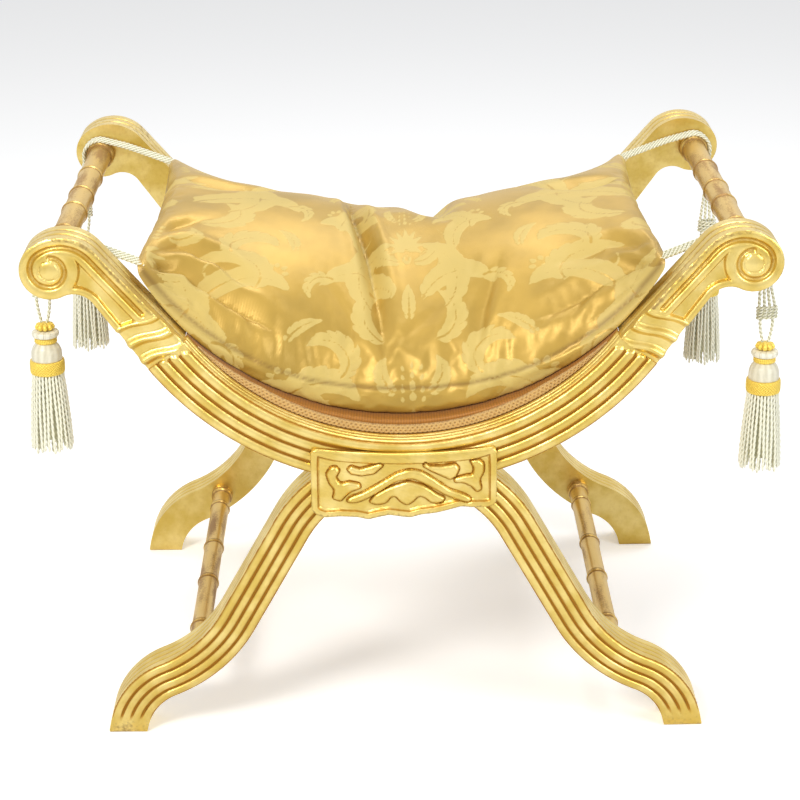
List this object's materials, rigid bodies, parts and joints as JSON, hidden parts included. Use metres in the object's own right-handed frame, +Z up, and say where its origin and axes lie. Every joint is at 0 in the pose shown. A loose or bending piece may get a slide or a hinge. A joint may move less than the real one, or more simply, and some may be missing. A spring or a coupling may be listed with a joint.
{
  "type": "x frame stool",
  "caption": "Gilt X-frame dressing stool with scrolled arms, reeded crescent rails, turned handles and stretchers, an upholstered bowed seat and a tied box cushion with tassels.",
  "frame": {"origin": "on the floor, under the middle of the stool's frame", "axes": "+X across the front, from the left scroll to the right one as the picture shows them; +Y from the front frame to the back one; +Z up"},
  "size_m": [0.733, 0.484, 0.509],
  "materials": {
    "gilt_wood": "worn gold leaf over a red-brown ground",
    "bronzed_wood": "brown paint with rubbed gold",
    "plain_wood": "unfinished beech",
    "damask": "gold silk damask",
    "seat_silk": "plain dark gold silk",
    "gimp_braid": "woven braid",
    "padding": "cotton and foam padding",
    "cord": "twisted silk cord",
    "gold_thread": "gold thread",
    "tassel_silk": "ivory silk"
  },
  "bodies": {
    "frame": {"front_seat_rail": "gilt_wood", "front_left_arm": "gilt_wood", "front_right_arm": "gilt_wood", "front_left_leg": "gilt_wood", "front_right_leg": "gilt_wood", "front_plaque": "gilt_wood", "front_dowels": "plain_wood", "front_gimp": "gimp_braid", "back_seat_rail": "gilt_wood", "back_left_arm": "gilt_wood", "back_right_arm": "gilt_wood", "back_left_leg": "gilt_wood", "back_right_leg": "gilt_wood", "back_plaque": "gilt_wood", "back_dowels": "plain_wood", "back_gimp": "gimp_braid", "left_handle": "bronzed_wood", "right_handle": "bronzed_wood", "left_stretcher": "bronzed_wood", "right_stretcher": "bronzed_wood", "seat_slats": "plain_wood", "seat_padding": "padding", "seat_cover": "seat_silk", "cushion_cover": "damask", "cushion_filling": "padding", "front_left_tie": "cord", "front_right_tie": "cord", "back_left_tie": "cord", "back_right_tie": "cord"},
    "front_left_cord": {"front_left_drop": "cord", "front_left_knot": "cord"},
    "front_left_tassel": {"front_left_loop": "cord", "front_left_tassel_head": "tassel_silk", "front_left_tassel_braid": "gold_thread", "front_left_tassel_skirt": "tassel_silk"},
    "front_right_cord": {"front_right_drop": "cord", "front_right_knot": "cord"},
    "front_right_tassel": {"front_right_loop": "cord", "front_right_tassel_head": "tassel_silk", "front_right_tassel_braid": "gold_thread", "front_right_tassel_skirt": "tassel_silk"},
    "back_left_cord": {"back_left_drop": "cord", "back_left_knot": "cord"},
    "back_left_tassel": {"back_left_loop": "cord", "back_left_tassel_head": "tassel_silk", "back_left_tassel_braid": "gold_thread", "back_left_tassel_skirt": "tassel_silk"},
    "back_right_cord": {"back_right_drop": "cord", "back_right_knot": "cord"},
    "back_right_tassel": {"back_right_loop": "cord", "back_right_tassel_head": "tassel_silk", "back_right_tassel_braid": "gold_thread", "back_right_tassel_skirt": "tassel_silk"}
  },
  "joints": [
    {"name": "front_left_cord_swing", "type": "hinge", "parent": "frame", "child": "front_left_cord", "pos_m": [-0.33996, -0.182, 0.47195], "axis": [0, 1, 0], "range_deg": [0, 60]},
    {"name": "front_left_tassel_swing", "type": "hinge", "parent": "front_left_cord", "child": "front_left_tassel", "pos_m": [-0.33796, -0.182, 0.43204], "axis": [1, 0, 0], "range_deg": [-25, 25]},
    {"name": "front_right_cord_swing", "type": "hinge", "parent": "frame", "child": "front_right_cord", "pos_m": [0.33996, -0.182, 0.47195], "axis": [0, -1, 0], "range_deg": [0, 60]},
    {"name": "front_right_tassel_swing", "type": "hinge", "parent": "front_right_cord", "child": "front_right_tassel", "pos_m": [0.34596, -0.182, 0.40304], "axis": [1, 0, 0], "range_deg": [-25, 25]},
    {"name": "back_left_cord_swing", "type": "hinge", "parent": "frame", "child": "back_left_cord", "pos_m": [-0.33996, 0.182, 0.47195], "axis": [0, 1, 0], "range_deg": [0, 60]},
    {"name": "back_left_tassel_swing", "type": "hinge", "parent": "back_left_cord", "child": "back_left_tassel", "pos_m": [-0.34496, 0.182, 0.40704], "axis": [1, 0, 0], "range_deg": [-25, 25]},
    {"name": "back_right_cord_swing", "type": "hinge", "parent": "frame", "child": "back_right_cord", "pos_m": [0.33996, 0.182, 0.47195], "axis": [0, -1, 0], "range_deg": [0, 60]},
    {"name": "back_right_tassel_swing", "type": "hinge", "parent": "back_right_cord", "child": "back_right_tassel", "pos_m": [0.34096, 0.182, 0.38204], "axis": [1, 0, 0], "range_deg": [-25, 25]}
  ]
}
